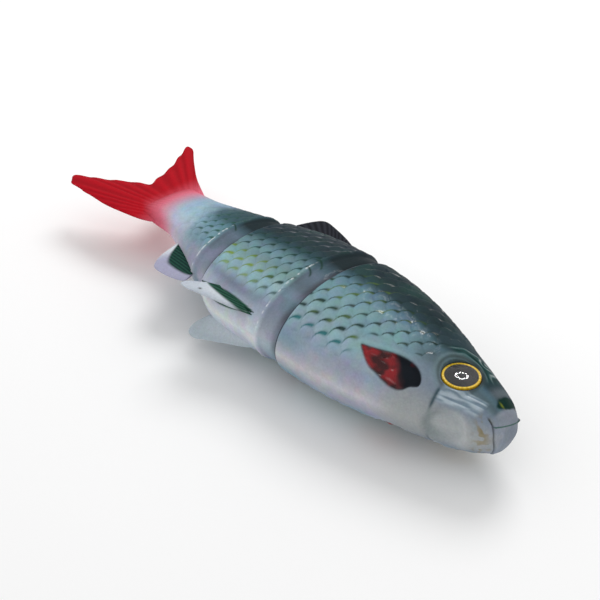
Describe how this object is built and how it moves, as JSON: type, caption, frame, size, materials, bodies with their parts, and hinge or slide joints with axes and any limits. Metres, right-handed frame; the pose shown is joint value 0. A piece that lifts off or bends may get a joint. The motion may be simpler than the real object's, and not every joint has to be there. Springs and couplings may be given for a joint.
{
  "type": "swimbait",
  "caption": "Jointed soft fishing lure shaped like a deep-bodied roach, with hinged body sections on hard frames, domed eyes, soft fins, a forked red tail and a line tie on the back.",
  "frame": {"origin": "centre of the line tie's hole, on the back just behind the head's brow", "axes": "+X towards the snout, along the lure's length; +Y towards the back; +Z out of the right flank, which faces up, and along the line tie's hole"},
  "size_m": [0.187, 0.0682, 0.0334],
  "materials": {
    "soft_skin": "pearl satin",
    "tail_skin": "satin",
    "dark_fin": "satin",
    "pale_fin": "satin",
    "frame": "matt",
    "steel": "polished",
    "weight_metal": "dull",
    "iris": "metallic print",
    "eye_dome": "clear gloss"
  },
  "bodies": {
    "head": {"head_body": "soft_skin", "head_frame": "frame", "line_tie": "steel", "line_tie_rivet": "steel", "head_weight": "weight_metal", "right_eye_iris": "iris", "right_eye_dome": "eye_dome", "left_eye_iris": "iris", "left_eye_dome": "eye_dome"},
    "middle": {"middle_body": "soft_skin", "middle_frame": "frame", "front_hinge_pin": "steel", "middle_weight": "weight_metal", "dorsal_fin": "dark_fin", "right_pelvic_fin": "pale_fin", "left_pelvic_fin": "pale_fin"},
    "tail": {"tail_body": "soft_skin", "tail_frame": "frame", "rear_hinge_pin": "steel", "anal_fin": "tail_skin", "tail_fin": "tail_skin"}
  },
  "joints": [
    {"name": "front_hinge", "type": "hinge", "parent": "head", "child": "middle", "pos_m": [-0.05, -0.0142, 0], "axis": [0, 1, 0], "range_deg": [-22, 22]},
    {"name": "rear_hinge", "type": "hinge", "parent": "middle", "child": "tail", "pos_m": [-0.0885, -0.01469, 0], "axis": [0, 1, 0], "range_deg": [-28, 28]}
  ]
}
